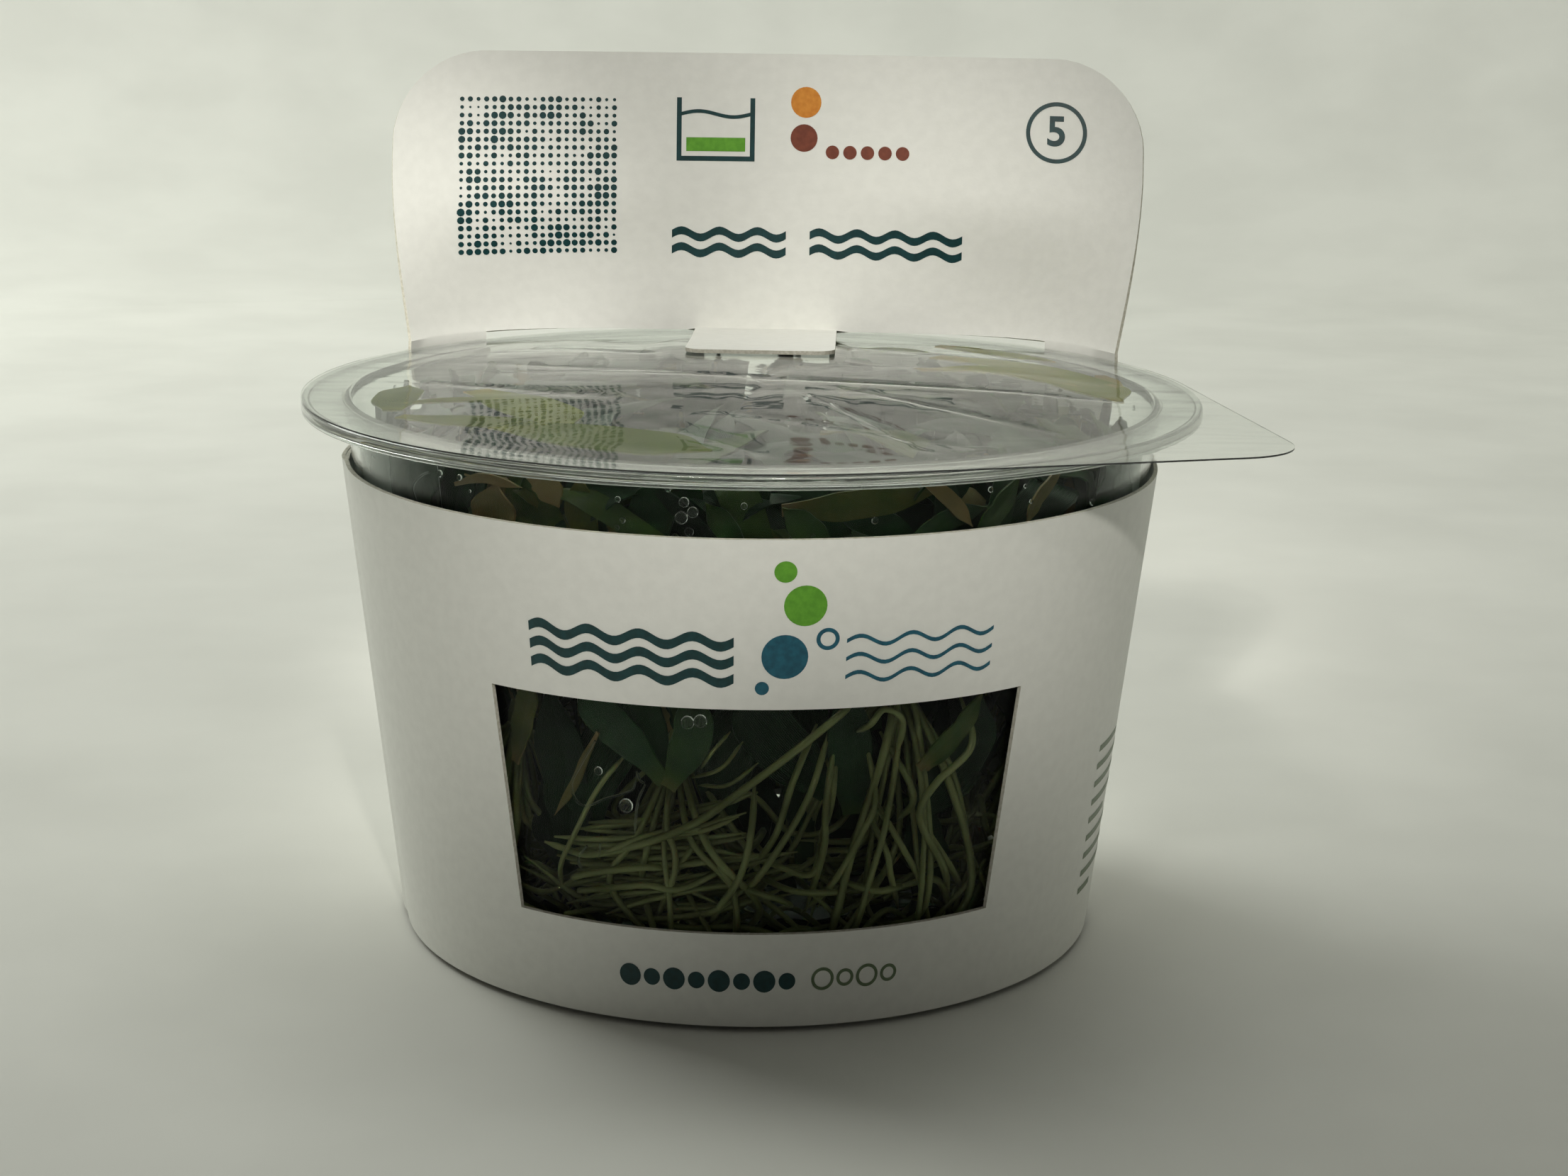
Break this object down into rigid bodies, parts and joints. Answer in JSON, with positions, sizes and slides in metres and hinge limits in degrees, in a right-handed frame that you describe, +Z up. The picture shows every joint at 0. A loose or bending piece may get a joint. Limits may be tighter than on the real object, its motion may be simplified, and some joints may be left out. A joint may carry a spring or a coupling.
{
  "type": "in-vitro cup of aquarium plants",
  "caption": "Clear lidded cup of young grass-like aquarium plants in a white card sleeve with a window and an upright header.",
  "frame": {"origin": "middle of the cup's flat base", "axes": "+Z up the cup's axis, -Y towards the sleeve's window, header card at +Y"},
  "size_m": [0.105, 0.1, 0.0959],
  "materials": {
    "clear_cup": "clear, slightly milky moulded polypropylene",
    "clear_film": "clear glossy sealing film, creased",
    "white_card": "white coated folding boxboard, satin print face",
    "plant": "living leaves and pale olive roots, moist"
  },
  "bodies": {
    "root": {"cup": "clear_cup", "film_lid": "clear_film", "card_sleeve": "white_card", "plantlet_1": "plant", "plantlet_2": "plant", "plantlet_3": "plant", "plantlet_4": "plant", "plantlet_5": "plant", "plantlet_6": "plant", "plantlet_7": "plant", "plantlet_8": "plant", "plantlet_9": "plant"}
  },
  "joints": []
}
